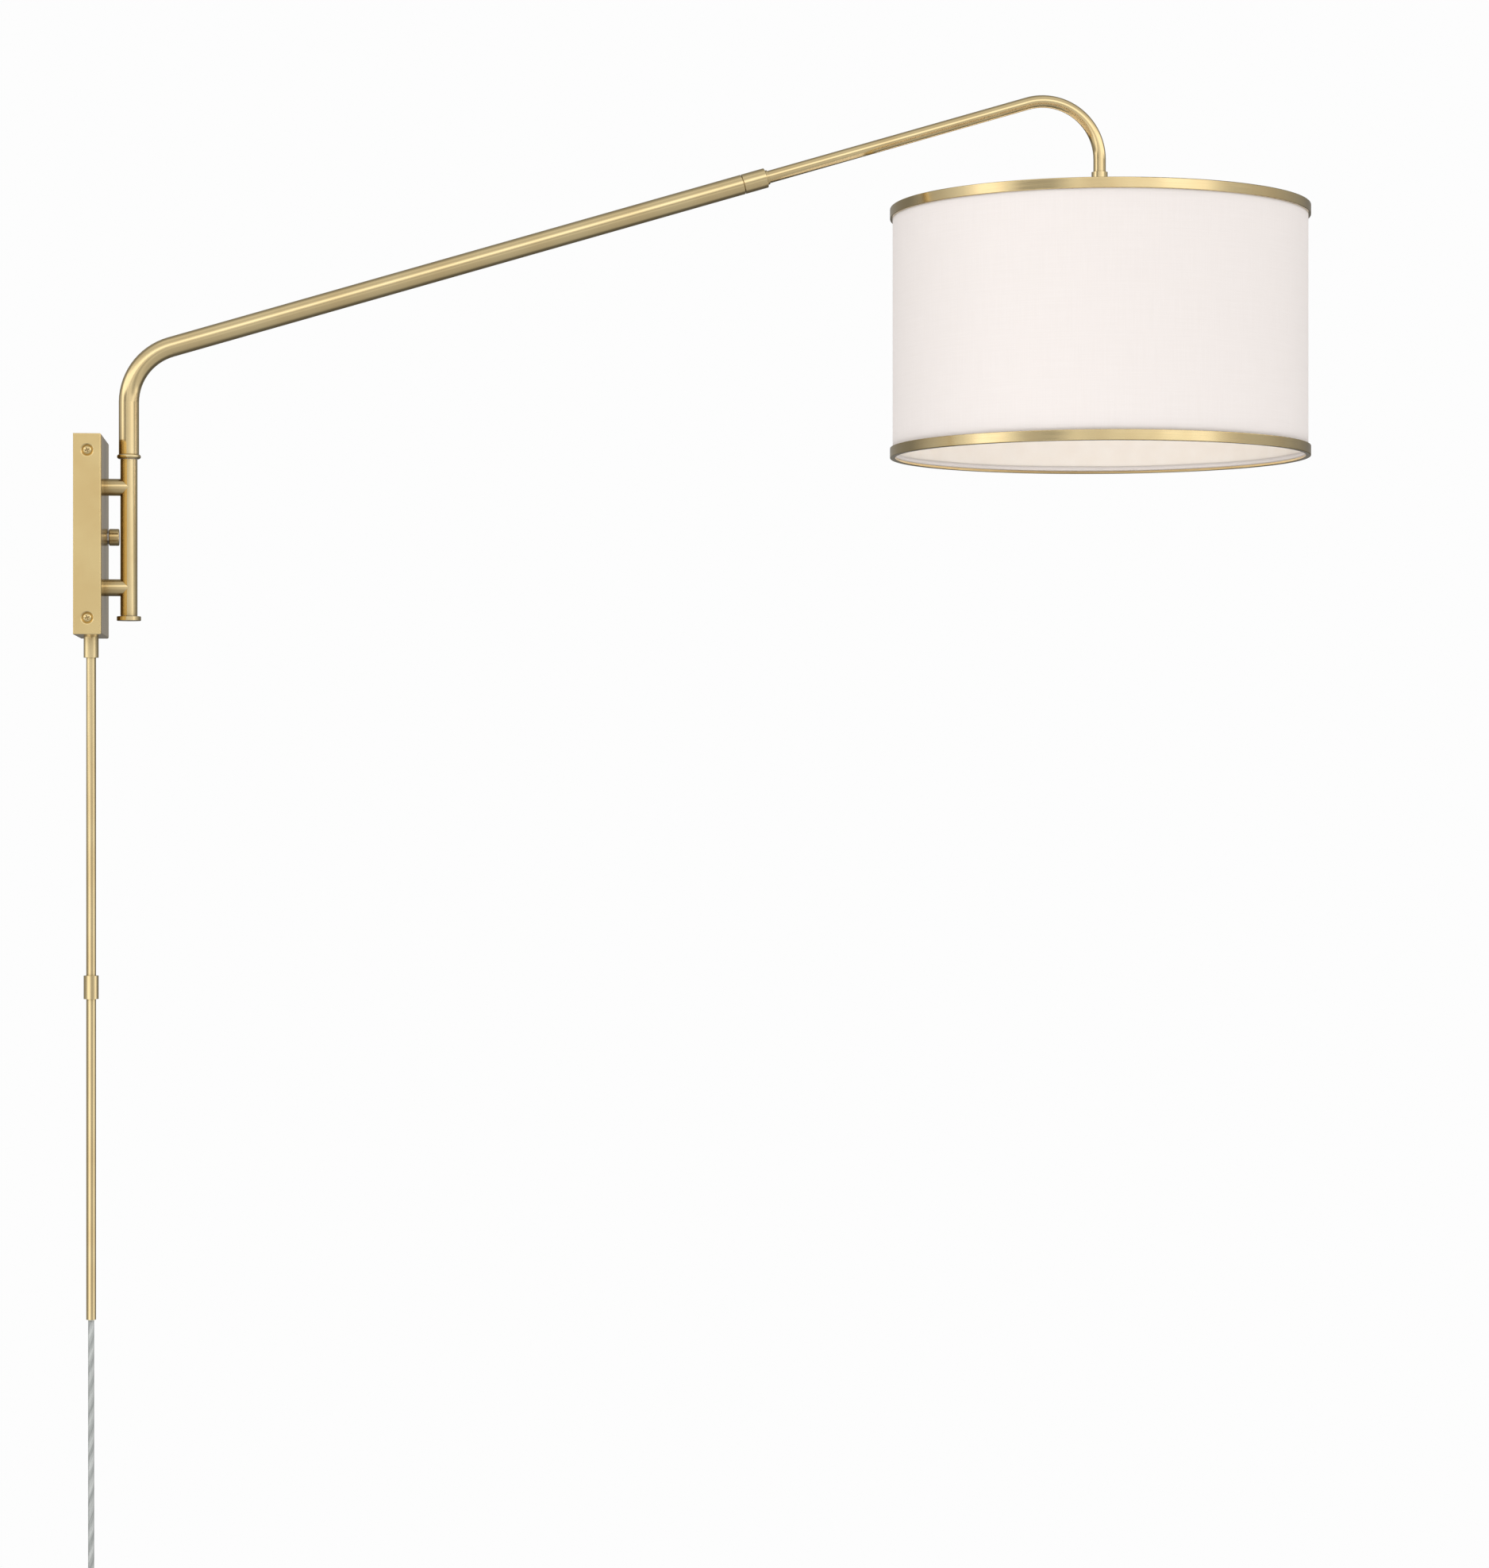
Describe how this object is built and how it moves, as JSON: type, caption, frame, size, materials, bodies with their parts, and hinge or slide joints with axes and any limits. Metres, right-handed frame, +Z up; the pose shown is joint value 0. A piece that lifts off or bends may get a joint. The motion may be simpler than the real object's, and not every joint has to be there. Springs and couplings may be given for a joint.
{
  "type": "swing arm wall sconce",
  "caption": "Plug-in wall sconce with a slanted telescoping swing arm, a gooseneck end and a hanging banded drum shade.",
  "frame": {"origin": "middle of the canopy's back, on the wall", "axes": "+X out from the wall, +Y along the wall, +Z up; at rest the arm stands square to the wall in the plane Y = 0"},
  "size_m": [1.1801, 0.4052, 1.6172],
  "materials": {
    "brass": "satin, softly aged",
    "steel": "zinc plated",
    "bronze": "sintered bronze",
    "nylon": "matte",
    "black_plastic": "moulded, low sheen",
    "connector": "moulded",
    "clear_cord": "clear sheath over tinned wire",
    "tie": "matte strap",
    "shade_fabric": "off-white, fine plain weave",
    "shade_liner": "warm white styrene"
  },
  "bodies": {
    "wall_bracket": {"canopy": "brass", "mounting_plate": "steel", "canopy_screws": "brass", "standoff_nipples": "steel", "standoff_nuts": "steel", "standoff_washers": "steel", "upper_standoff": "brass", "lower_standoff": "brass", "post_tube": "brass", "upper_bush": "bronze", "lower_bush": "bronze", "thrust_washers": "nylon", "switch_body": "black_plastic", "switch_nut": "steel", "cord_ferrule": "brass", "ferrule_nut": "steel", "cord_clamp": "nylon", "supply_leads": "clear_cord", "lamp_lead": "black_plastic", "wire_connectors": "connector", "cord_cover_upper": "brass", "cover_coupling": "brass", "cord_cover_lower": "brass", "cover_end_bush": "nylon", "captive_cord": "clear_cord", "free_cord": "clear_cord", "cord_tail": "clear_cord", "cord_hank": "clear_cord", "hank_tie": "tie", "plug_body": "clear_cord", "plug_blades": "steel"},
    "switch_knob": {"switch_knob": "brass", "switch_shaft": "steel"},
    "arm": {"hinge_spindle": "steel", "hinge_ring": "brass", "bottom_flange": "brass", "flange_screw": "brass", "arm_tube": "brass", "spindle_sleeve": "steel", "collar_seat": "brass", "collet": "nylon", "arm_wire": "black_plastic"},
    "lock_collar": {"lock_collar": "brass"},
    "extension": {"slide_tube": "brass", "tube_guide": "nylon", "tube_insert": "steel", "neck_ferrule": "brass", "neck_nipple": "steel", "spider": "brass", "spider_nut": "steel", "socket_cap": "brass", "socket_husk": "black_plastic", "socket_base": "black_plastic", "socket_shell": "brass", "socket_contact": "brass", "slide_wire": "black_plastic", "top_band": "brass", "bottom_band": "brass", "shade_fabric": "shade_fabric", "shade_liner": "shade_liner"}
  },
  "joints": [
    {"name": "arm_swing", "type": "hinge", "parent": "wall_bracket", "child": "arm", "pos_m": [0.0483, 0, 0], "axis": [0, 0, 1], "range_deg": [-75, 75]},
    {"name": "arm_extend", "type": "slide", "parent": "arm", "child": "extension", "axis": [0.9586, 0, 0.2849], "range_m": [-0.24, 0.04]},
    {"name": "collar_turn", "type": "hinge", "parent": "arm", "child": "lock_collar", "pos_m": [0.63063, 0, 0.34185], "axis": [0.9586, 0, 0.2849], "range_deg": [-120, 0]},
    {"name": "switch_turn", "type": "hinge", "parent": "wall_bracket", "child": "switch_knob", "pos_m": [0.026, 0.0465, 0.003], "axis": [1, 0, 0], "continuous": true}
  ]
}
